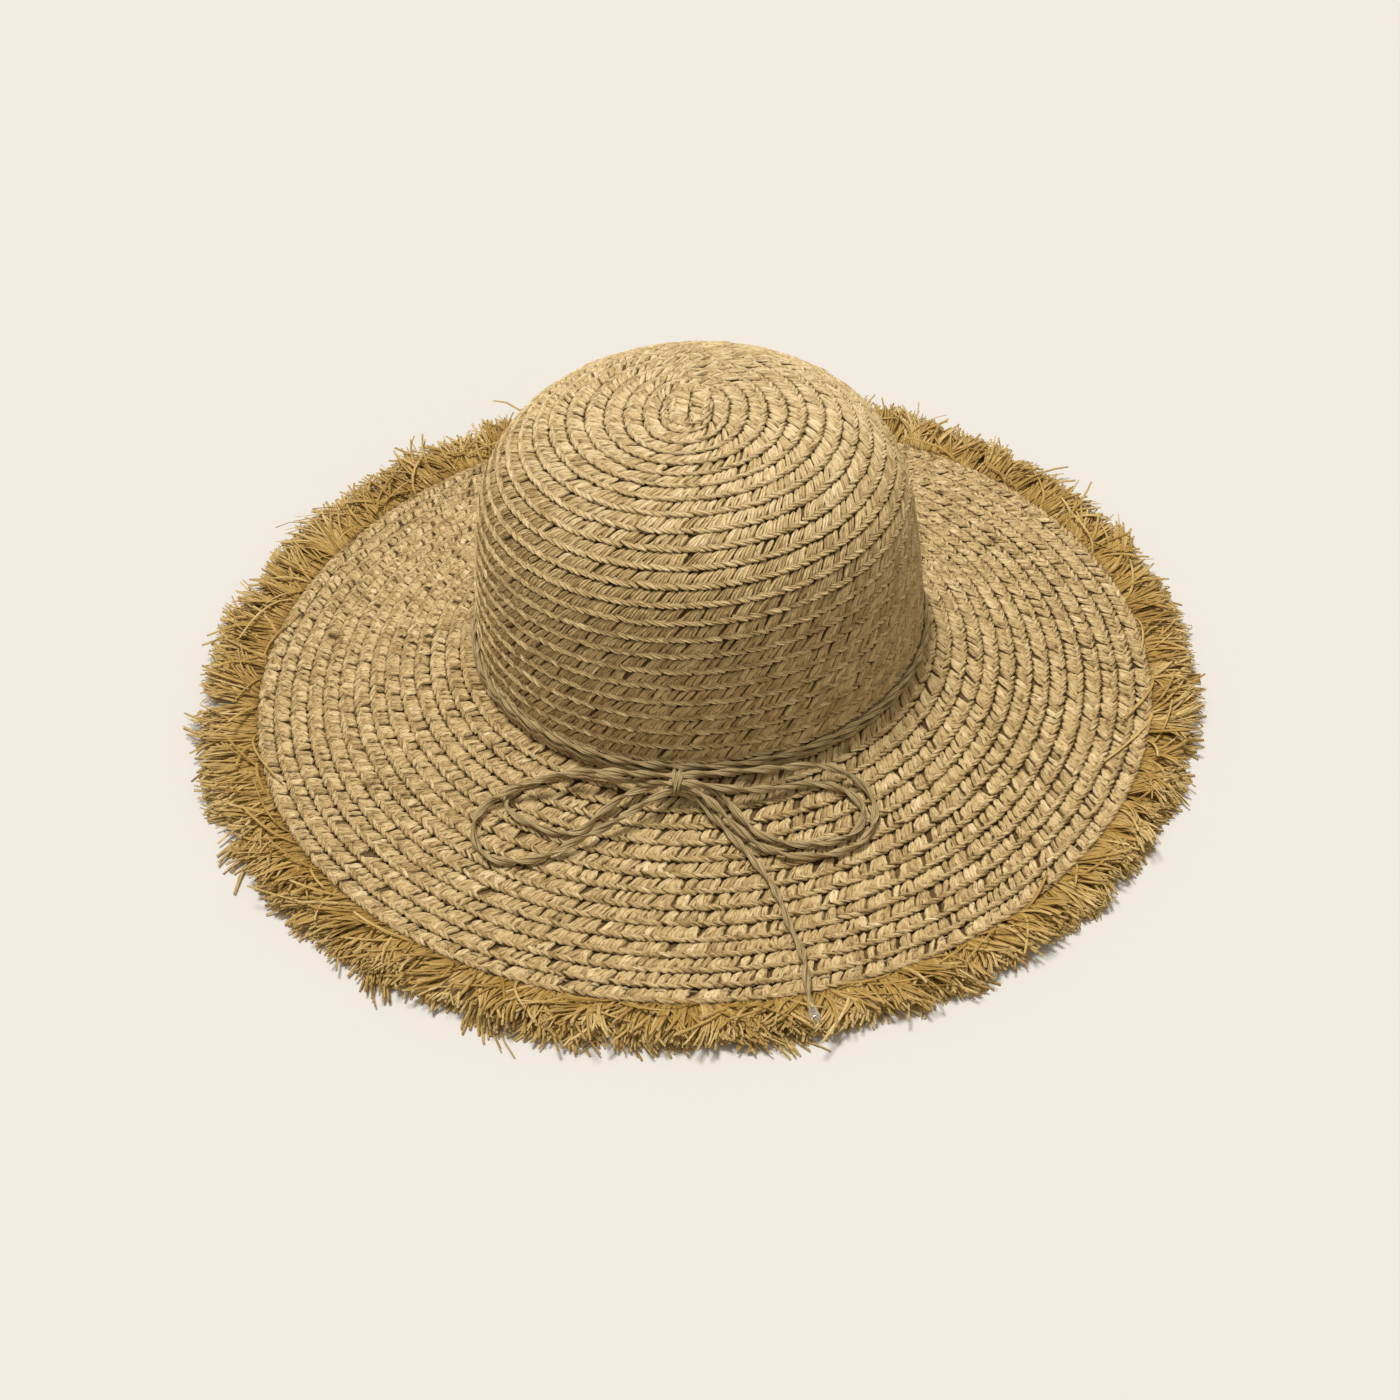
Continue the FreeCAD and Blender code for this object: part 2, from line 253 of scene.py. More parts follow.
# the strip's start is folded in two: an oval about a short straight line
FOLD_X = -0.7
FOLD_FRONT, FOLD_BACK = -3.2, 11.0
FOLD_HALF_WIDTH = 8.1
FOLD_MIDDLE = 4.5            # the offset at which lengths along the fold are true
FOLD_SEAM = 3.45             # where across the strip its two sides meet
FOLD_RAISE = 0.45
FOLD_TILT = 0.05             # how much lower the inner side lies, for each millimetre
FOLD_STRAIGHT = FOLD_BACK - FOLD_FRONT
FOLD_LENGTH = 2 * FOLD_STRAIGHT + 2 * math.pi * FOLD_MIDDLE


def on_fold(u, v, w):
    """The same as on_strip, for the folded start."""
    cap = math.pi * FOLD_MIDDLE
    offset = FOLD_HALF_WIDTH * np.maximum(v - FOLD_SEAM, 0.0) / (STRIP_WIDTH - FOLD_SEAM)
    gone = np.mod(u, FOLD_LENGTH)
    up, over = gone, gone - FOLD_STRAIGHT
    down, under = over - cap, over - cap - FOLD_STRAIGHT
    turned = np.pi - np.clip(over, 0, cap) / FOLD_MIDDLE - np.clip(under, 0, cap) / FOLD_MIDDLE
    y = FOLD_FRONT + np.clip(up, 0, FOLD_STRAIGHT) - np.clip(down, 0, FOLD_STRAIGHT)
    x, y = FOLD_X + offset * np.cos(turned), y + offset * np.sin(turned)
    height = outline(np.hypot(x, y))[1]
    return np.stack([x + 0 * w, y + 0 * w, height + w + FOLD_RAISE - FOLD_TILT * (STRIP_WIDTH - v)], -1)


LEAF_FOLDS = np.array([-0.55, 0.95, 0.30, 1.0, -0.55])
EDGE_FOLDS = np.array([-0.50, 0.90, 0.50, 1.0, -0.50])
UNDER_FLOOR = -1.02          # the lower face of the plait, against its upper face
PAINTED_EDGE_SHADOW_WIDTH = 0.95            # width of the painted shadow line beside the row before
UNDER_LAYER = 2              # the first of the plait's lower layers
UNDERSIDE_PAINTED_LIGHT = 0.62        # how little painted shade their lower faces get
UNDER_LAP = 1.30             # width of a lower straw against its share of the strip
DENTS = (0.17, 0.10, 0.125)  # along, across and off the strip
LEAF_OVERLAP = 0.8           # how far a leaf starts past the vertex line
LEAF_TOPS = (-0.95, 0.15)    # where leaves end, from the edge of the hidden part
LEAF_WIDE = 3.1
LEAF_WIDE_SPREAD = (-0.6, 1.0)
LEAF_HEIGHT = (0.42, 0.76)
LEAF_THICK = 0.40
EDGE_RUN = (4.2, 5.8)        # how far an edge straw runs along the strip
EDGE_WIDE = (1.55, 2.05)
EDGE_HEIGHT = (0.40, 0.66)
EDGE_THICK = 0.5
UNDER_WIDE = 1.8             # a lower edge straw's width against an upper one's
UNDER_THICK = 0.3
BAR_THICK = 0.28
UNIT_SHIFT = 0.55            # how far plaits, and then single straws, stray along the strip
STRAW_SHIFT = 0.5
VERTEX_SHIFT = 0.28
SLOPE_SPREAD = 0.16
STRAW_SLOPE_SPREAD = 0.17
TINT_SPREAD = 0.2
PAINTED_LIGHT_AT_FACE = 0.62          # painted light, as a share of the full colour: at the strip's face, more for each millimetre above it, so crevices get painted shade, and less beside the row before, a painted shadow line
PAINTED_LIGHT_PER_MM = 0.85           # more for each millimetre above it,
PAINTED_EDGE_SHADOW = 0.80         # and less beside the row before
STRAW_LENGTH = 8.0


def across_points(count, number):
    return np.linspace(-0.5, 0.5, number)[None, None, :] * np.ones((count, 1, 1))


def crumple(u, v, w, loose, rng):
    """Small dents and kinks over every straw."""
    u, v = np.broadcast_to(u, w.shape), np.broadcast_to(v, w.shape)
    along, across, off = DENTS
    return (u + rng.normal(0, along * loose, w.shape), v + rng.normal(0, across * loose, w.shape),
            w + rng.normal(0, off * loose, w.shape))


def leaves(u0, vertex, slope, loose, rng):
    """Folded straws side by side, from the vertex line to their round tops."""
    count, stations = len(u0), 5
    a = np.linspace(0, 1, stations)[None, :, None]
    b = across_points(count, len(LEAF_FOLDS))
    low = vertex[:, None, None] + LEAF_OVERLAP
    top = HIDDEN_WIDTH + rng.uniform(*LEAF_TOPS, (count, 1, 1))
    v = low + (top - low) * a + 0 * b
    wide = LEAF_WIDE + loose * rng.uniform(*LEAF_WIDE_SPREAD, (count, 1, 1))
    round_top = np.sqrt(np.clip(1 - np.clip((a - 0.7) / 0.31, 0, 1) ** 2, 0.0, 1))
    wide = wide * (0.80 + 0.20 * np.clip(a / 0.5, 0, 1)) * (0.12 + 0.88 * round_top)
    bow = rng.uniform(-0.1, 0.7, (count, 1, 1)) * np.sin(math.pi * a)
    u = u0[:, None, None] - slope[:, None, None] * (low - v) + b * wide + bow
    folds = LEAF_FOLDS[None, None, :] * rng.uniform(0.7, 1.2, (count, 1, b.shape[2]))
    rise = 0.35 + 0.65 * np.sin(math.pi * np.clip(0.08 + a * 0.92, 0, 1)) ** 0.6
    height = rng.uniform(*LEAF_HEIGHT, (count, 1, 1)) * folds * rise
    side = rng.uniform(-0.25, 0.75, (count, 1, 1)) * b
    w = -0.40 + rng.normal(0, 0.10, (count, 1, 1)) + height + side + 0.80 * a - 0.35 * a ** 8
    u, v, w = crumple(u, v, w, loose, rng)
    return u, v, w, w - LEAF_THICK - 0.12 * (1 - np.abs(2 * b))


def edge_strands(u0, vertex, lift, loose, rng, fine):
    """The slanted straws between the vertex line and the strip's outer edge, lapped like tiles."""
    count, stations = len(u0), 5 if fine else 3
    a = np.linspace(0, 1, stations)[None, :, None]
    b = across_points(count, len(EDGE_FOLDS) if fine else 3)
    start = vertex[:, None, None] + rng.uniform(-0.15, 0.35, (count, 1, 1))
    end = STRIP_WIDTH - 0.55 + rng.uniform(-0.22, 0.20, (count, 1, 1))
    run = rng.uniform(*EDGE_RUN, (count, 1, 1))
    wide = rng.uniform(*EDGE_WIDE, (count, 1, 1)) * (1.0 if fine else UNDER_WIDE)
    wide = wide * (0.60 + 0.40 * np.sin(math.pi * np.clip(0.1 + 0.8 * a, 0, 1)) ** 0.7)
    fall = end - start
    length = np.hypot(run, fall)
    u = u0[:, None, None] + 1.5 - run * a + b * wide * fall / length
    v = start + fall * a ** 0.9 + b * wide * run / length
    v = np.minimum(v, STRIP_WIDTH + 0.12)
    if not fine:
        w = UNDER_FLOOR - 0.03 + 0.2 * a - 0.2 * (1 - (2 * b) ** 2)
        return u, v, w + UNDER_THICK, w
    folds = EDGE_FOLDS[None, None, :] * rng.uniform(0.7, 1.2, (count, 1, b.shape[2]))
    rise = np.sin(math.pi * np.clip(0.15 + 0.75 * a, 0, 1)) ** 0.6
    height = rng.uniform(*EDGE_HEIGHT, (count, 1, 1)) * folds * rise
    tilt = 0.5 * b * rng.uniform(0.2, 1.2, (count, 1, 1))
    w = -0.50 + 0.26 * rise + height + tilt - 0.25 * a ** 3 + lift[:, None, None] * a
    u, v, w = crumple(u, v, w, loose, rng)
    return u, v, w, w - EDGE_THICK


def under_bars(u0, vertex, slope):
    """The plait's lower layer, seen from below, and from above as a floor between the straws that is
    painted dark as shade.
    """
    a = np.linspace(0, 1, 3)[None, :, None]
    b = across_points(len(u0), 3)
    reach = vertex[:, None, None] + 1.0
    v = reach + (0.35 - reach) * a + 0 * b
    u = u0[:, None, None] - slope[:, None, None] * (reach - v) + b * UNIT * UNDER_LAP
    w = UNDER_FLOOR - 0.22 * (1 - (2 * b) ** 2) + 0.25 * b + 0 * a
    return u, v, w + BAR_THICK, w


def plait_mesh(name, units, place, vertex_share, slope_mean, lift, tint_with_painted_light, loose, rng):
    """A stretch of plait as straws on both faces; place puts (u, v, w) in space."""
    count = len(units)
    lift = lift + np.zeros(count)
    tint_with_painted_light = tint_with_painted_light + np.zeros(count)
    u0 = units + UNIT_SHIFT * loose * rng.uniform(-1, 1, count)
    vertex = STRIP_WIDTH - ROW_PITCH * vertex_share + VERTEX_SHIFT * rng.uniform(-1, 1, count)
    slope = slope_mean + SLOPE_SPREAD * rng.uniform(-1, 1, count)
    pair = np.repeat(u0, 2) + np.tile([-UNIT / 4, UNIT / 4], count)
    pair = pair + STRAW_SHIFT * loose * rng.uniform(-1, 1, 2 * count)
    leaf_slope = np.repeat(slope, 2) + rng.normal(0, STRAW_SLOPE_SPREAD * loose, 2 * count)
    layers = [
        leaves(pair, np.repeat(vertex, 2), leaf_slope, loose, rng),
        edge_strands(pair, np.repeat(vertex, 2), np.repeat(lift, 2), loose, rng, True),
        under_bars(units, vertex, slope_mean + np.zeros(count)),
        edge_strands(units, vertex - 0.4, lift, loose, rng, False),
    ]
    points, quads, uv, tint, painted_light, total = [], [], [], [], [], 0
    for layer, (u, v, top, under) in enumerate(layers):
        u, v = np.broadcast_to(u, top.shape), np.broadcast_to(v, top.shape)
        number, stations, across = top.shape
        ring_u, ring_v = slab_ring(u, u), slab_ring(v, v)
        ring_w = slab_ring(top, under)
        ring = 2 * across
        points.append(place(ring_u, ring_v, ring_w).reshape(-1, 3))
        quads.append(repeat_quads(ring_quads(stations, ring), number, stations * ring) + total)
        total += number * stations * ring
        full = (number, stations, ring)
        along = np.broadcast_to(np.linspace(0, STRAW_LENGTH, stations)[None, :, None], full)
        steps = np.linspace(0, UNIT / 2, across)
        side = np.broadcast_to(np.concatenate([steps, steps[::-1]]), full)
        shift = rng.uniform(0, 500, (number, 1, 1))
        uv.append(np.stack([along + shift, side + shift * 0.37], -1).reshape(-1, 2))
        # painted light and shade by zone, then a random tint per straw
        own = np.repeat(tint_with_painted_light, number // count)[:, None, None]
        own = own + rng.normal(0, TINT_SPREAD, (number, 1, 1))
        tint.append((np.clip(own, 0, 1) + 0 * along).ravel())
        # painted shade: the colour is darkened low in the plait's crevices and in a line beside the row
        # before's edge
        painted_edge_shadow = np.clip((HIDDEN_WIDTH + PAINTED_EDGE_SHADOW_WIDTH - ring_v) / PAINTED_EDGE_SHADOW_WIDTH, 0, 1)
        painted_light_share = np.clip(PAINTED_LIGHT_AT_FACE + ring_w * PAINTED_LIGHT_PER_MM - PAINTED_EDGE_SHADOW * painted_edge_shadow, 0, 1)
        # the lower layers' downward faces get a fixed, lighter painted shade
        if layer >= UNDER_LAYER:
            painted_light_share[:, :, across:] = UNDERSIDE_PAINTED_LIGHT
        painted_light.append(painted_light_share.ravel())
    return new_mesh(
        name, np.concatenate(points), np.concatenate(quads), np.concatenate(uv),
        {"tint": np.concatenate(tint), "painted_light": np.concatenate(painted_light)}, smooth=False)


WALL_TURN = 8                # about where the crown turns down
BRIM_TURN = 23               # about where the brim begins
WALL_VERTEX = 0.37           # the vertex line's distance from the outer edge, in rows
BRIM_VERTEX = 0.40
WALL_SLOPE = 0.80            # how far the leaves lean along the strip
BRIM_SLOPE = 0.58
FOLD_SLOPE = 0.75
# the straw's mean tint by zone, with painted light and shade: raised on the crown's top, lowered on its
# wall
TOP_TINT_PAINTED_LIGHT = 0.78          # painted light: a paler tint on top of the crown, where the overhead light falls
WALL_TINT_PAINTED_SHADE = 0.24
BRIM_PALENESS = 0.42
CROWN_LOOSENESS = 0.62       # how unevenly the straws lie, against the brim's
BRIM_LOOSENESS = 1.0
WALL_EDGE_LIFT = 0.45        # how far the strip's edge stands off on the crown's wall


def braid_piece(name, first_turn, last_turn, node):
    """The stretch of the strip between two turns."""
    rng = np.random.default_rng(int(1000 * (first_turn + 2)))
    low, high = np.interp([first_turn, last_turn], TURNS, LENGTHS)
    units = np.arange(math.ceil(low / UNIT), math.ceil(high / UNIT)) * UNIT
    turns = np.interp(units, LENGTHS, TURNS)
    flat = np.clip((turns - BRIM_TURN) / 3, 0, 1)
    lift = WALL_EDGE_LIFT * np.clip((turns - WALL_TURN + 1) / 6, 0, 1) * (1 - flat)
    wall = np.clip((turns - WALL_TURN) / 4, 0, 1)
    # painted light and shade by zone: a lighter tint on the crown's top, a darker one on its wall
    tint_with_painted_light = TOP_TINT_PAINTED_LIGHT * (1 - wall) + WALL_TINT_PAINTED_SHADE * wall
    tint_with_painted_light = tint_with_painted_light * (1 - flat) + BRIM_PALENESS * flat
    vertex_share = WALL_VERTEX * (1 - flat) + BRIM_VERTEX * flat
    slope = WALL_SLOPE * (1 - flat) + BRIM_SLOPE * flat
    obj = plait_mesh(name, units, on_strip, vertex_share, slope, lift, tint_with_painted_light,
                     BRIM_LOOSENESS if first_turn > BRIM_TURN else CROWN_LOOSENESS, rng)
    finish_piece(obj, STRAW, "hat", "straw_braid", node)


def fold_piece():
    """The folded start of the strip, in the middle of the crown."""
    count = int(round(FOLD_LENGTH / UNIT))
    units = np.arange(count) * FOLD_LENGTH / count
    obj = plait_mesh("braid_start_fold", units, on_fold, WALL_VERTEX, FOLD_SLOPE, 0.0,
                     TOP_TINT_PAINTED_LIGHT, BRIM_LOOSENESS, np.random.default_rng(3))
    finish_piece(obj, STRAW, "hat", "straw_braid", "crown_tip")


# ---- materials -----------------------------------------------------------------------
def node_material(name, roughness):
    mat = bpy.data.materials.new(name)
    mat.use_nodes = True
    tree = mat.node_tree
    shader = tree.nodes["Principled BSDF"]
    shader.inputs["Roughness"].default_value = roughness
    shader.inputs["Specular IOR Level"].default_value = 0.25
    return mat, tree, shader


def fibre(tree, scale, coordinates="strand"):
    """Noise drawn out along the strand, from 0 to 1."""
    if coordinates == "strand":
        place = tree.nodes.new("ShaderNodeUVMap")
        place.uv_map = "strand"
        source = place.outputs["UV"]
    else:
        source = tree.nodes.new("ShaderNodeTexCoord").outputs["Object"]
    mapping = tree.nodes.new("ShaderNodeMapping")
    mapping.inputs["Scale"].default_value = scale
    tree.links.new(source, mapping.inputs["Vector"])
    noise = tree.nodes.new("ShaderNodeTexNoise")
    noise.inputs["Scale"].default_value = 1.0
    noise.inputs["Detail"].default_value = 5.0
    noise.inputs["Roughness"].default_value = 0.62
    tree.links.new(mapping.outputs["Vector"], noise.inputs["Vector"])
    return noise.outputs["Fac"]


def ramp(tree, source, stops):
    node = tree.nodes.new("ShaderNodeValToRGB")
    points = node.color_ramp.elements
    while len(points) < len(stops):
        points.new(0.5)
    for point, (at, colour) in zip(points, stops):
        point.position = at
        point.color = (*colour, 1)
    tree.links.new(source, node.inputs["Fac"])
    return node.outputs["Color"]


def multiply(tree, first, second, share=1.0):
    node = tree.nodes.new("ShaderNodeMix")
    node.data_type = "RGBA"
    node.blend_type = "MULTIPLY"
    node.inputs["Factor"].default_value = share
    tree.links.new(first, node.inputs["A"])
    tree.links.new(second, node.inputs["B"])
    return node.outputs["Result"]


def attribute(tree, name):
    node = tree.nodes.new("ShaderNodeAttribute")
    node.attribute_name = name
    return node.outputs["Fac"]


def bump(tree, shader, height, strength, distance):
    node = tree.nodes.new("ShaderNodeBump")
    node.inputs["Strength"].default_value = strength
    node.inputs["Distance"].default_value = distance
    tree.links.new(height, node.inputs["Height"])
    tree.links.new(node.outputs["Normal"], shader.inputs["Normal"])


FIBRE_SHADES = [(0.36, (0.42, 0.37, 0.28)), (0.46, (0.88, 0.86, 0.81)), (0.62, (1, 1, 1))]


def strand_material(name, tints, fibre_scale, painted_crevice_shade, roughness=0.72):
    """Dry plant or paper fibre: a tint per strand, fine lines along it, and painted shade in its
    crevices and creases.
    """
    mat, tree, shader = node_material(name, roughness)
    lines = fibre(tree, fibre_scale)
    colour = ramp(tree, attribute(tree, "tint"), tints)
    colour = multiply(tree, colour, ramp(tree, lines, FIBRE_SHADES))
    # painted shade: the colour is darkened by the per-point attribute, in crevices and creases
    if painted_crevice_shade:
        colour = multiply(tree, colour, ramp(tree, attribute(tree, "painted_light"), painted_crevice_shade))
    tree.links.new(colour, shader.inputs["Base Color"])
    bump(tree, shader, lines, 0.9, 0.0009)
    return mat


STRAW = strand_material(
    "straw",
    [(0.0, (0.48, 0.333, 0.150)), (0.3, (0.63, 0.460, 0.222)),
     (0.6, (0.735, 0.556, 0.289)), (1.0, (0.90, 0.715, 0.43))],
    (0.26, 1.45, 1.0),
    # painted shade in the crevices and beside the row edges
    [(0.04, (0.15, 0.11, 0.06)), (0.40, (0.66, 0.61, 0.52)), (0.70, (1, 1, 1))])
RAFFIA = strand_material(
    "raffia",
    [(0.0, (0.44, 0.258, 0.056)), (0.45, (0.63, 0.405, 0.120)), (1.0, (0.90, 0.67, 0.30))],
    # painted shade for the fringe's lower layers and roots
    (0.20, 3.4, 1.0), [(0.0, (0.42, 0.33, 0.20)), (0.5, (1, 1, 1))], 0.6)
CORD = strand_material(
    "paper_cord",
    [(0.0, (0.38, 0.27, 0.12)), (0.5, (0.52, 0.385, 0.19)), (1.0, (0.68, 0.52, 0.30))],
    # painted shade between the plies and in the creases
    (0.14, 1.5, 1.0), [(0.0, (0.24, 0.18, 0.10)), (0.55, (1, 1, 1))])
THREAD = strand_material(
    "sewing_thread", [(0.0, (0.48, 0.36, 0.20)), (1.0, (0.66, 0.53, 0.33))], (1.2, 9.0, 1.0), None, 0.8)


def ribbon_material():
    """Grosgrain: fine upright ribs, close together round the band."""
    mat, tree, shader = node_material("sweatband_ribbon", 0.85)
    place = tree.nodes.new("ShaderNodeUVMap")
    place.uv_map = "strand"
    wave = tree.nodes.new("ShaderNodeTexWave")
    wave.bands_direction = "X"
    wave.inputs["Scale"].default_value = 0.35
    wave.inputs["Distortion"].default_value = 0.3
    tree.links.new(place.outputs["UV"], wave.inputs["Vector"])
    colour = ramp(tree, wave.outputs["Fac"], [(0.0, (0.52, 0.41, 0.26)), (1.0, (0.70, 0.58, 0.40))])
    worn = ramp(tree, fibre(tree, (0.05, 0.4, 1)), [(0.3, (0.86, 0.86, 0.86)), (0.7, (1, 1, 1))])
    colour = multiply(tree, colour, worn)
    tree.links.new(colour, shader.inputs["Base Color"])
    bump(tree, shader, wave.outputs["Fac"], 0.7, 0.0003)
    return mat


def bead_material():
    """A clear drop with a few cloudy streaks."""
    mat, tree, shader = node_material("clear_drop", 0.12)
    shader.inputs["Transmission Weight"].default_value = 0.85
    shader.inputs["IOR"].default_value = 1.47
    shader.inputs["Specular IOR Level"].default_value = 0.5
    cloud = fibre(tree, (900, 900, 900), "object")
    colour = ramp(tree, cloud, [(0.35, (0.78, 0.75, 0.68)), (0.7, (0.95, 0.94, 0.90))])
    tree.links.new(colour, shader.inputs["Base Color"])
    return mat


# ---- cords ---------------------------------------------------------------------------
def route_line(name):
    """Points along the smooth line through a cord's route, in metres."""
    curve = bpy.data.curves.new(name + "_route", "CURVE")
    curve.dimensions = "3D"
    curve.resolution_u = 12
    spline = curve.splines.new("NURBS")
    spline.points.add(len(CORD_ROUTES[name]) - 1)
    for point, place in zip(spline.points, CORD_ROUTES[name]):
        point.co = (place[0] * MM, place[1] * MM, place[2] * MM, 1)
    spline.order_u = 3
    spline.use_endpoint_u = True
    holder = bpy.data.objects.new(name + "_route", curve)
    line = bpy.data.meshes.new_from_object(holder)
    points = np.array([v.co[:] for v in line.vertices])
    bpy.data.objects.remove(holder)
    bpy.data.curves.remove(curve)
    bpy.data.meshes.remove(line)
    return points


def even_points(points, step, closed=False):
    if closed:
        points = np.concatenate([points, points[:1]])
    gone = np.concatenate([[0], np.cumsum(np.linalg.norm(np.diff(points, axis=0), axis=1))])
    count = max(int(round(gone[-1] / step)), 2)
    at = np.linspace(0, gone[-1], count + 1)
    if closed:
        at = at[:-1]
    return np.stack([np.interp(at, gone, points[:, i]) for i in range(3)], 1), gone[-1]


def frames(points, closed=False):
    """(side, up) across a line at each point, carried along it without twist."""
    if closed:
        along = np.roll(points, -1, 0) - np.roll(points, 1, 0)
    else:
        along = np.gradient(points, axis=0)
    along = along / np.linalg.norm(along, axis=1)[:, None]
    side = np.zeros_like(points)
    pick = np.array([0, 0, 1.0]) if abs(along[0][2]) < 0.9 else np.array([1.0, 0, 0])
    side[0] = np.cross(pick, along[0])
    side[0] /= np.linalg.norm(side[0])
    for k in range(1, len(points)):
        step = side[k - 1] - along[k] * (side[k - 1] @ along[k])
        side[k] = step / np.linalg.norm(step)
    return side, np.cross(along, side)


CORD_STEP = 0.55
CORD_RING = 28
WOBBLE_STEP = 4.5
PLY_OFFSET = 0.205           # a ply's middle from the cord's, in diameters
PLY_RADIUS = 0.305           # before its creases, in diameters
PLY_FLAT = 0.18              # how far a ply is from round, as a share of its radius
TWIST_WOBBLE = 0.35
OFFSET_WOBBLE = 0.14
CREASES = ((4, 0.13, 1), (7, 0.12, 2))   # how many, how deep, how far turned in each ply
SHADE_STOPS = 25
SHADE_SPREAD = 0.18


def twisted_cord(name, points_m, diameter, lay, plies=2, closed=False, seed=0):
    """A paper cord: plies wound round one another, each creased along its length."""
    rng = np.random.default_rng(seed)
    points, length = even_points(points_m / MM, CORD_STEP, closed)
    side, up = frames(points, closed)
    if closed:
        side, up = close_twist(points, side, up)
    count = len(points)
    turns = length / lay
    if closed:
        turns = max(round(turns), 1)
    at = np.arange(count) / (count if closed else count - 1)
    knots = np.arange(0, length + 2 * WOBBLE_STEP, WOBBLE_STEP)
    wobble = np.interp(at * length, knots, rng.uniform(-1, 1, len(knots))) * (0 if closed else 1)
    phi = np.linspace(0, 2 * math.pi, CORD_RING, endpoint=False)
    out, quads, uv, tint, painted_light, total = [], [], [], [], [], 0
    offset, thick = PLY_OFFSET * diameter, PLY_RADIUS * diameter
    for ply in range(plies):
        turn = 2 * math.pi * (turns * at + ply / plies) + TWIST_WOBBLE * wobble
        reach = offset * (1 + OFFSET_WOBBLE * wobble)
        middle = points + reach[:, None] * (np.cos(turn)[:, None] * side + np.sin(turn)[:, None] * up)
        spin = phi[None, :] + turn[:, None]
        creases = 1 + sum(deep * np.cos(many * phi + by * ply) for many, deep, by in CREASES)
        flat = 1 + PLY_FLAT * np.cos(2 * phi)
        radius = (thick * creases * flat)[None, :] * np.ones((count, 1))
        ring = middle[:, None] + radius[..., None] * (
            np.cos(spin)[..., None] * side[:, None] + np.sin(spin)[..., None] * up[:, None])
        out.append(ring.reshape(-1, 3))
        quads.append(ring_quads(count, CORD_RING, closed) + total)
        total += count * CORD_RING
        along = np.broadcast_to((at * length)[:, None], (count, CORD_RING))
        around = np.broadcast_to((phi * diameter / 2)[None, :], (count, CORD_RING))
        uv.append(np.stack([along + 60 * ply, around], -1).reshape(-1, 2))
        stops = np.linspace(0, 1, SHADE_STOPS)
        shade = 0.5 + SHADE_SPREAD * np.interp(at, stops, rng.uniform(-1, 1, SHADE_STOPS))
        tint.append(np.broadcast_to(shade[:, None], (count, CORD_RING)).ravel())
        # painted shade: darker toward the cord's middle, where the plies meet, and in the creases'
        # valleys
        axis = np.linalg.norm(ring - points[:, None], axis=-1) / (diameter / 2)
        painted_crease_light = np.clip((creases - 0.78) / 0.24, 0.12, 1)[None, :]
        painted_light.append((np.clip((axis - 0.25) / 0.6, 0, 1) * painted_crease_light).ravel())
    return new_mesh(name, np.concatenate(out), np.concatenate(quads), np.concatenate(uv),
                    {"tint": np.concatenate(tint), "painted_light": np.concatenate(painted_light)})


def close_twist(points, side, up):
    """Spreads the leftover twist of a closed line evenly, so that its frame meets itself."""
    gap = math.atan2(side[0] @ up[-1], side[0] @ side[-1])
    back = gap * np.arange(len(points)) / (len(points) - 1)
    c, s = np.cos(back)[:, None], np.sin(back)[:, None]
    return side * c + up * s, up * c - side * s


CORD_LAY = 27.0
WRAP_LAY = 24.0
CORD_WAVE, CORD_RIPPLE = 0.12, 0.08   # how far the crown's cords lie out of true


def make_bow():
    bead = make_bead()
    for seed, name in enumerate(CORD_ROUTES):
        line = route_line(name)
        piece = twisted_cord(name + "_cord", line, CORD_D, CORD_LAY, seed=seed)
        finish_piece(piece, CORD, "band", "paper_cord", name)


def make_band():
    """The two turns of cord that lie round the foot of the crown."""
    angle = np.linspace(0, 2 * math.pi, 361)[:-1]
    for name, along, seed in (("band_cord_lower", WALL_END + LOWER_CORD_BELOW_WALL, 21),
                              ("band_cord_upper", WALL_END - UPPER_CORD_ABOVE_END, 22)):
        r, z, slope = outline(np.array([along]))
        off = CORD_D / 2 + CORD_CLEARANCE
        radius = r[0] + off * math.sin(slope[0])
        height = z[0] + off * math.cos(slope[0])
        wave = CORD_WAVE * np.sin(5 * angle + seed) + CORD_RIPPLE * np.sin(11 * angle)
        line = np.stack([radius * np.cos(angle), radius * np.sin(angle), height + wave], 1) * MM
        piece = twisted_cord(name + "_cord", line, CORD_D, CORD_LAY, closed=True, seed=seed)
        finish_piece(piece, CORD, "band", "paper_cord", name)


WRAP_D = 1.9
WRAP_HALF_DEPTH = 4.1
WRAP_HALF_HEIGHT = 3.5
WRAP_SPREAD = 0.95
WRAP_SWAY = 0.35
BUNDLE_D = 2.2
BUNDLE_ENDS = [
    ((-3.0, -98.0, 30.6), (3.0, -98.0, 30.6)), ((-3.0, -100.4, 29.8), (3.0, -100.4, 29.9)),
    ((-3.0, -100.8, 27.4), (3.0, -100.9, 27.4)), ((-3.0, -98.2, 28.0), (3.0, -98.0, 27.8)),
    ((-2.2, -97.2, 26.4), (2.6, -99.4, 25.6)),
]


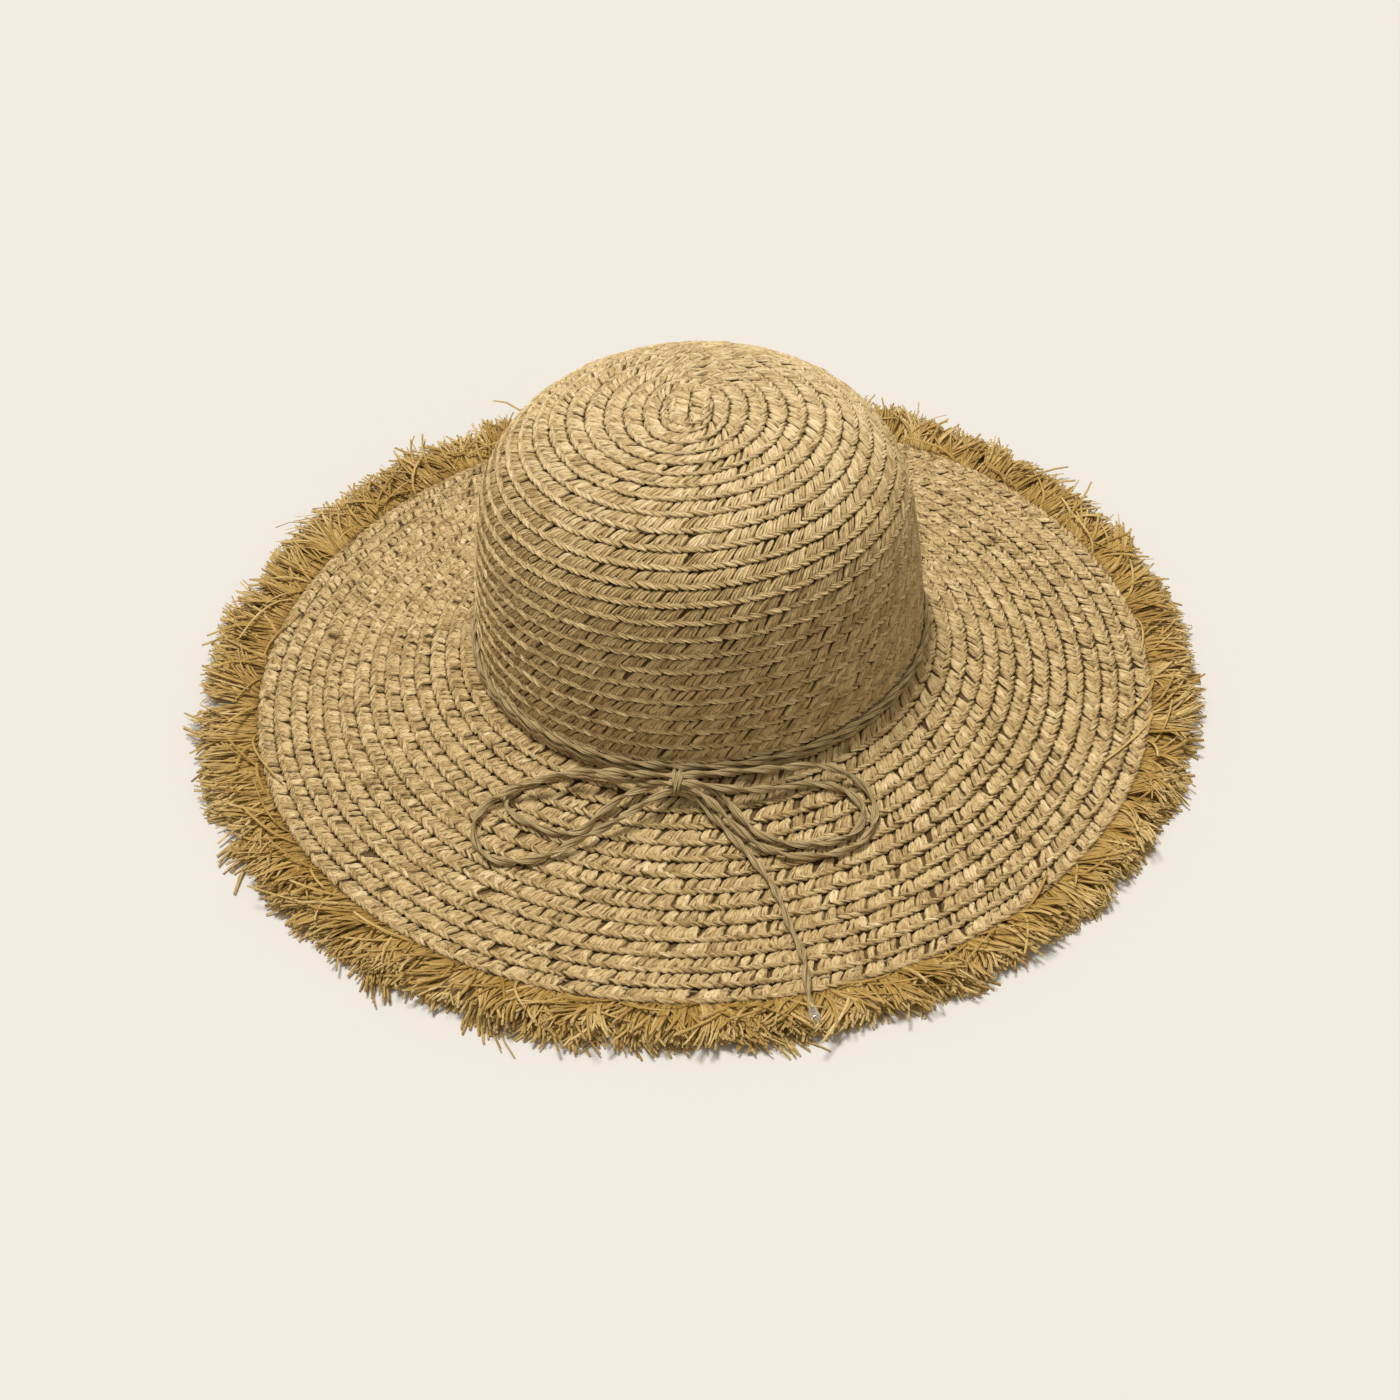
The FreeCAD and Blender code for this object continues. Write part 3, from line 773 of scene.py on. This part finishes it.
def make_knot():
    """Two wraps side by side round the pinched bundle of cords."""
    turn = np.linspace(0, 2 * math.pi, 121)[:-1]
    x0, y0, z0 = KNOT_CENTRE
    for side, seed in ((-1, 31), (1, 32)):
        x = x0 + side * WRAP_SPREAD + WRAP_SWAY * np.sin(turn + side)
        y = y0 + WRAP_HALF_DEPTH * np.cos(turn)
        z = z0 + WRAP_HALF_HEIGHT * np.sin(turn)
        line = np.stack([x, y, z], 1) * MM
        piece = twisted_cord("knot_wrap_%s" % ("left" if side < 0 else "right"), line, WRAP_D,
                             WRAP_LAY, closed=True, seed=seed)
        finish_piece(piece, CORD, "band", "paper_cord", "bow_knot")
    for number, ends in enumerate(BUNDLE_ENDS):
        line = np.array([ends[0], np.mean(ends, axis=0), ends[1]]) * MM
        piece = twisted_cord("knot_bundle_%d" % number, line, BUNDLE_D, CORD_LAY, seed=40 + number)
        finish_piece(piece, CORD, "band", "paper_cord", "bow_knot")


BEAD_R = 2.3
BEAD_LENGTH = 7.0
BEAD_NECK_R = 1.35
BEAD_GRIP = 0.6              # how far the neck goes over the cord
BEAD_LUMP = 0.05
BEAD_RING = 28
BEAD_TUBE = BEAD_LENGTH - BEAD_R   # from the cord's end to the middle of the round end


def make_bead():
    """The clear drop on the tail's end: a neck, a shoulder and a slightly lopsided round end."""
    before, end = [np.array(p) for p in CORD_ROUTES["bow_tail"][-2:]]
    axis = (end - before) / np.linalg.norm(end - before)
    side = np.cross(axis, [0, 0, 1.0])
    side /= np.linalg.norm(side)
    up = np.cross(side, axis)
    tube_along = np.linspace(-BEAD_GRIP, BEAD_TUBE, 8)
    end_along = BEAD_TUBE + BEAD_R * np.sin(np.linspace(0.15, 1.5, 9))
    along = np.concatenate([tube_along, end_along])
    tube = BEAD_NECK_R + (BEAD_R - BEAD_NECK_R) * np.clip(along / BEAD_TUBE, 0, 1) ** 0.8
    round_end = BEAD_R * np.sqrt(np.clip(1 - ((along - BEAD_TUBE) / BEAD_R) ** 2, 0.003, 1))
    radius = np.where(along > BEAD_TUBE, round_end, tube)
    phi = np.linspace(0, 2 * math.pi, BEAD_RING, endpoint=False)
    lumpy = 1 + BEAD_LUMP * np.cos(2 * phi + 0.5)[None] * np.clip(along / BEAD_TUBE, 0, 1)[:, None]
    ring = end + axis * along[:, None, None] + (radius[:, None] * lumpy)[..., None] * (
        np.cos(phi)[None, :, None] * side + np.sin(phi)[None, :, None] * up)
    bead = new_mesh("tail_drop", ring.reshape(-1, 3), ring_quads(len(along), BEAD_RING))
    finish_piece(bead, bead_material(), "band", "clear_bead", "tail_bead")
    return bead


# ---- fringe --------------------------------------------------------------------------
FRINGE_LAYERS = [
    # name, tufts, strands in a tuft, layer number from the bottom
    ("raffia_under", 150, 20, 0),
    ("raffia_middle", 165, 19, 1),
    ("raffia_over", 150, 17, 2),
    ("raffia_stray", 420, 1, 3),
]
FRINGE_ROOT_R = 186.0
FRINGE_LONG = 22.1
STRAND_STATIONS = 7
STRAY_LAYER = 3
TUFT_SCATTER = 0.42          # how far a tuft strays, in tufts
TUFT_TURN, STRAY_TURN = 0.24, 0.60   # how far tufts and strays turn aside, and curl
TUFT_CURL, STRAY_CURL = 0.34, 0.60
TURN_LIMIT = 0.9
STRAND_TURN, STRAND_CURL = 0.10, 0.20
LOWEST_RISE, LAYER_RISE = 0.08, 0.13
ROOT_LOW, ROOT_STEP = 0.7, 0.75
ROOT_INSET = 1.5
FRINGE_REACH = 214.0         # strands that go further out are drawn in
DRAWN_IN = 0.8
STRAND_HALF = (0.36, 0.74)   # half a strand's width
STRAND_TAPER = 0.35
STRAND_THIN = 0.10
STRAND_LOWEST = 0.12


def fringe_length(angle):
    """Strand length round the brim: longest at the left, trimmed shortest at the right."""
    return FRINGE_LONG - 3.2 * np.cos(angle) + 1.3 * np.sin(angle) - 0.4 * np.cos(2 * angle)


def make_fringe():
    """Tufts of raffia strands that come out from under the brim's edge."""
    for name, tufts, each, layer in FRINGE_LAYERS:
        rng = np.random.default_rng(70 + layer)
        count = tufts * each
        own = np.repeat(np.arange(tufts), each)
        stray = layer == STRAY_LAYER
        tuft_angle = (np.arange(tufts) + TUFT_SCATTER * rng.uniform(-1, 1, tufts)) * 2 * math.pi / tufts
        tuft_turn = rng.normal(0, STRAY_TURN if stray else TUFT_TURN, tufts)
        tuft_turn = np.clip(tuft_turn, -TURN_LIMIT, TURN_LIMIT)
        tuft_curl = rng.normal(0, STRAY_CURL if stray else TUFT_CURL, tufts)
        tuft_rise = rng.normal(LOWEST_RISE + LAYER_RISE * layer, 0.10, tufts)
        tuft_rise = np.clip(tuft_rise, 0.0, 0.6)
        tuft_long = rng.normal(1.0, 0.07, tufts)
        tuft_tint = rng.normal(0.0, 0.14, tufts)
        tuft_half = math.pi / tufts * rng.uniform(0.85, 1.35, tufts)
        place = rng.uniform(-1, 1, count)
        angle = tuft_angle[own] + place * tuft_half[own]
        fan = rng.uniform(-0.10, 0.12, tufts)
        turn = tuft_turn[own] + fan[own] * place + rng.normal(0, STRAND_TURN, count)
        curl = tuft_curl[own] + rng.normal(0, STRAND_CURL, count)
        rise = np.clip(tuft_rise[own] + rng.normal(0, 0.05, count), -0.02, 0.8)
        long = fringe_length(angle) * tuft_long[own] * rng.uniform(0.80, 1.04, count)
        root_z = ROOT_LOW + ROOT_STEP * min(layer, 2) + rng.uniform(0, 0.6, count)
        droop = rng.uniform(0.15, 0.5, count) * (0.4 + rise)
        t = np.linspace(0, 1, STRAND_STATIONS)[None, :]
        out = np.cos(turn)[:, None] * t - np.sin(turn)[:, None] * curl[:, None] * t ** 2
        aside = np.sin(turn)[:, None] * t + np.cos(turn)[:, None] * curl[:, None] * t ** 2
        flat = (np.cos(rise) * long)[:, None]
        r = FRINGE_ROOT_R - ROOT_INSET + rng.uniform(-0.8, 0.8, count)[:, None] + out * flat
        shift = aside * flat
        climb = np.sin(rise)[:, None] * t - 0.6 * droop[:, None] * t ** 2
        z = root_z[:, None] + long[:, None] * climb
        z = np.maximum(z, 0.35 + 0.25 * layer + 0.2 * t)
        r = r - DRAWN_IN * np.clip(r - FRINGE_REACH, 0, None)
        ca, sa = np.cos(angle)[:, None], np.sin(angle)[:, None]
        centre = np.stack([r * ca - shift * sa, r * sa + shift * ca, z], -1)
        strand_tint = 0.30 + tuft_tint[own] + rng.normal(0, 0.13, count)
        tint = np.clip(strand_tint[:, None] + 0.42 * t ** 2, 0, 1)
        # painted shade: darker for the lower layers and towards the roots under the brim's edge
        painted_light = np.clip(0.22 + 0.20 * layer + 1.0 * t, 0, 1) + 0 * tint
        half = rng.uniform(*STRAND_HALF, count)[:, None] * (1 - STRAND_TAPER * t ** 3)
        raffia_strands(name, centre, half, long, tint, painted_light, rng)


def raffia_strands(name, centre, half, long, tint, painted_light, rng):
    """Flat ribbons along the given lines, each with its own twist."""
    count, stations = centre.shape[:2]
    t = np.linspace(0, 1, stations)[None, :]
    tangent = np.gradient(centre, axis=1)
    tangent /= np.linalg.norm(tangent, axis=2, keepdims=True)
    cross = np.cross(tangent, np.array([0, 0, 1.0]))
    cross /= np.linalg.norm(cross, axis=2, keepdims=True)
    normal = np.cross(cross, tangent)
    spin = rng.uniform(-0.45, 0.45, count)[:, None] + rng.normal(0, 0.35, count)[:, None] * t
    wide = np.cos(spin)[..., None] * cross + np.sin(spin)[..., None] * normal
    thin = STRAND_THIN * np.cross(tangent, wide)
    a = half[..., None] * wide
    ring = np.stack([centre - a + thin, centre + a + thin, centre + a - thin, centre - a - thin], 2)
    ring[..., 2] = np.maximum(ring[..., 2], STRAND_LOWEST)
    quads = repeat_quads(ring_quads(stations, 4), count, stations * 4)
    full = (count, stations, 4)
    along = np.broadcast_to((t * long[:, None])[..., None], full)
    across = np.broadcast_to(np.array([0, 1.0, 1.0, 0])[None, None], full)
    shift = rng.uniform(0, 900, (count, 1, 1))
    uv = np.stack([along + shift, across + shift * 0.3], -1).reshape(-1, 2)
    obj = new_mesh(name, ring.reshape(-1, 3), quads, uv, {
        "tint": np.broadcast_to(tint[..., None], full).ravel(),
        "painted_light": np.broadcast_to(painted_light[..., None], full).ravel()})
    finish_piece(obj, RAFFIA, "hat", "raffia", "raffia_fringe")


HEADING_RADII = np.array([174.6, 179.5, 184.4, 187.2])
HEADING_LOW, HEADING_TOP = 0.12, 1.15
HEADING_STATIONS = 420
HEADING_RIPPLE, HEADING_RIPPLES = 0.10, 130
HEADING_UV_R = 180           # the radius at which lengths in its pattern are true


def make_heading():
    """The tape that holds the strands, under the brim's last rows."""
    count = HEADING_STATIONS
    angle = np.linspace(0, 2 * math.pi, count, endpoint=False)
    ripple = HEADING_RIPPLE * np.sin(angle * HEADING_RIPPLES)
    ring_r = np.concatenate([HEADING_RADII, HEADING_RADII[::-1]])[None] * np.ones((count, 1))
    half = len(HEADING_RADII)
    up = np.repeat([HEADING_TOP, HEADING_LOW], half)
    ring_z = up[None] + np.repeat([0.0, 1.0], half)[None] * np.abs(ripple)[:, None]
    place = np.stack([ring_r * np.cos(angle)[:, None], ring_r * np.sin(angle)[:, None], ring_z], -1)
    ring = 2 * half
    quads = ring_quads(count, ring, True)
    along = np.broadcast_to((angle * HEADING_UV_R)[:, None], (count, ring))
    uv = np.stack([along, ring_r], -1).reshape(-1, 2)
    grain = np.random.default_rng(5).uniform(0.35, 0.65, count)
    obj = new_mesh("fringe_tape", place.reshape(-1, 3), quads[:, ::-1], uv, {
        "tint": np.repeat(grain, ring), "painted_light": np.ones(count * ring)})
    finish_piece(obj, RAFFIA, "hat", "raffia", "fringe_heading")


# ---- sweatband and stitches ----------------------------------------------------------
RIBBON_HEIGHT = 28.0
RIBBON_LOW = WALL_END - 2.0
RIBBON_INSET = 2.55
RIBBON_THICK = 0.7
RIBBON_UV_R = 87


def make_sweatband():
    """A ribbed ribbon against the inside of the side wall."""
    around, up = 300, 9
    angle = np.linspace(0, 2 * math.pi, around, endpoint=False)
    along = RIBBON_LOW - np.linspace(0, RIBBON_HEIGHT, up)
    r, z, slope = outline(along)
    faces = []
    for inset in (RIBBON_INSET + RIBBON_THICK, RIBBON_INSET):
        faces.append((r - inset * np.sin(slope), z - inset * np.cos(slope)))
    ring_r = np.concatenate([faces[0][0], faces[1][0][::-1]])
    ring_z = np.concatenate([faces[0][1], faces[1][1][::-1]])
    place = np.stack([ring_r[None] * np.cos(angle)[:, None], ring_r[None] * np.sin(angle)[:, None],
                      ring_z[None] * np.ones((around, 1))], -1)
    uv = np.stack([np.broadcast_to((angle * RIBBON_UV_R)[:, None], (around, 2 * up)),
                   np.broadcast_to(ring_z[None], (around, 2 * up))], -1).reshape(-1, 2)
    obj = new_mesh("sweatband_ribbon", place.reshape(-1, 3), ring_quads(around, 2 * up, True), uv)
    finish_piece(obj, ribbon_material(), "hat", "ribbon", "sweatband")


THREAD_R = 0.25
STITCH_STATIONS, STITCH_RING = 7, 8
STITCH_DIP = 0.35            # how far a stitch's ends go in from its middle
STITCH_SINK = 0.3
SWEATBAND_STITCHES, SWEATBAND_STITCH_LONG = 90, 3.2
EDGE_STITCHES, EDGE_STITCH_LONG = 96, 4.0
STITCH_FROM_EDGE = 1.5
STITCH_PROUD = 0.15


def stitches(name, count, radius, height, long, lift, node):
    """Short thread stitches that dip in at both ends."""
    angle = np.linspace(0, 2 * math.pi, count, endpoint=False)
    t = np.linspace(-0.5, 0.5, STITCH_STATIONS)
    ring_angle = np.linspace(0, 2 * math.pi, STITCH_RING, endpoint=False)
    points_each = STITCH_STATIONS * STITCH_RING
    at = angle[:, None] + t[None] * long / radius
    dip = (1 - (2 * t) ** 4) * STITCH_DIP - STITCH_SINK
    phi = ring_angle[None, None]
    out_r = radius + lift[0] * dip[None, :, None] + THREAD_R * np.cos(phi)
    out_z = height + lift[1] * dip[None, :, None] + THREAD_R * np.sin(phi)
    place = np.stack([out_r * np.cos(at)[..., None], out_r * np.sin(at)[..., None],
                      out_z + 0 * at[..., None]], -1)
    quads = repeat_quads(ring_quads(STITCH_STATIONS, STITCH_RING), count, points_each)
    along = t[None, :, None] * long + angle[:, None, None] * 50
    uv = np.stack(np.broadcast_arrays(along, phi * THREAD_R), -1)
    tint = np.repeat(np.random.default_rng(count).uniform(0.3, 0.8, count), points_each)
    obj = new_mesh(name, place.reshape(-1, 3), quads, uv.reshape(-1, 2), {"tint": tint})
    finish_piece(obj, THREAD, "hat", "thread", node)


def make_stitching():
    r, z, slope = outline(np.array([RIBBON_LOW - STITCH_FROM_EDGE]))
    inset = RIBBON_INSET + RIBBON_THICK + STITCH_PROUD
    stitches("sweatband_stitches", SWEATBAND_STITCHES, r[0] - inset * math.sin(slope[0]),
             z[0] - inset * math.cos(slope[0]), SWEATBAND_STITCH_LONG, (-1, 0),
             "sweatband_stitching")
    last_seam = TIP_RADIUS + (LAST_ROW - 1) * ROW_PITCH
    r, z, slope = outline(np.array([last_seam + STITCH_FROM_EDGE]))
    stitches("edge_stitches", EDGE_STITCHES, r[0], z[0] - STITCH_PROUD, EDGE_STITCH_LONG, (0, 1),
             "edge_stitching")


# ---- braid ---------------------------------------------------------------------------
# each stretch of the strip: name, first turn, last turn and the CAD node it stands for
BRAID_STRETCHES = [
    ("braid_crown_tip", START_TURN, 0.5, "crown_tip"),
    ("braid_crown_top", 0.5, 8.5, "crown_top"),
    ("braid_crown_shoulder_upper", 8.5, 11.5, "crown_shoulder"),
    ("braid_crown_shoulder_lower", 11.5, 14.5, "crown_shoulder"),
    ("braid_crown_side_upper", 14.5, 17.5, "crown_side"),
    ("braid_crown_side_middle", 17.5, 20.5, "crown_side"),
    ("braid_crown_side_lower", 20.5, 23.5, "crown_side"),
    ("braid_brim_inner_first", 23.5, 26.5, "brim_inner"),
    ("braid_brim_inner_last", 26.5, 29.5, "brim_inner"),
    ("braid_brim_outer_first", 29.5, 32.0, "brim_outer"),
    ("braid_brim_outer_middle", 32.0, 34.25, "brim_outer"),
    ("braid_brim_outer_last", 34.25, 36.5, "brim_outer"),
    ("braid_edge_row", 36.5, LAST_TURN, "brim_edge_row"),
]


def make_braid():
    fold_piece()
    for stretch in BRAID_STRETCHES:
        braid_piece(*stretch)


# ---- stage ---------------------------------------------------------------------------
FLOOR_SIZE = 8.0
FLOOR_COLOUR = (0.630, 0.597, 0.556)
SKY_COLOUR = (1.0, 0.93, 0.77)
SKY_STRENGTH = 0.34
SUNS = [
    # name, direction it comes from, strength, apparent size in degrees
    ("overhead", (-0.16, 0.09, 1.0), 3.25, 18),
    ("fill", (0.5, -0.9, 1.1), 0.30, 60),
]


def make_stage():
    bpy.ops.mesh.primitive_plane_add(size=FLOOR_SIZE)
    floor = bpy.context.object
    floor.name = "floor"
    mat, _, shader = node_material("pale_floor", 0.9)
    shader.inputs["Base Color"].default_value = (*FLOOR_COLOUR, 1)
    shader.inputs["Specular IOR Level"].default_value = 0.0
    floor.data.materials.append(mat)
    world = bpy.data.worlds.new("studio")
    world.use_nodes = True
    back = world.node_tree.nodes["Background"]
    back.inputs["Color"].default_value = (*SKY_COLOUR, 1)
    back.inputs["Strength"].default_value = SKY_STRENGTH
    bpy.context.scene.world = world
    for name, source, strength, size in SUNS:
        data = bpy.data.lights.new(name, "SUN")
        data.energy = strength
        data.angle = math.radians(size)
        lamp = bpy.data.objects.new(name, data)
        lamp.rotation_euler = Vector(source).to_track_quat("Z", "Y").to_euler()
        bpy.context.scene.collection.objects.link(lamp)
    bpy.context.scene.view_settings.view_transform = "Standard"


make_camera()
make_bow()
make_band()
make_knot()
make_braid()
make_fringe()
make_heading()
make_sweatband()
make_stitching()
make_stage()
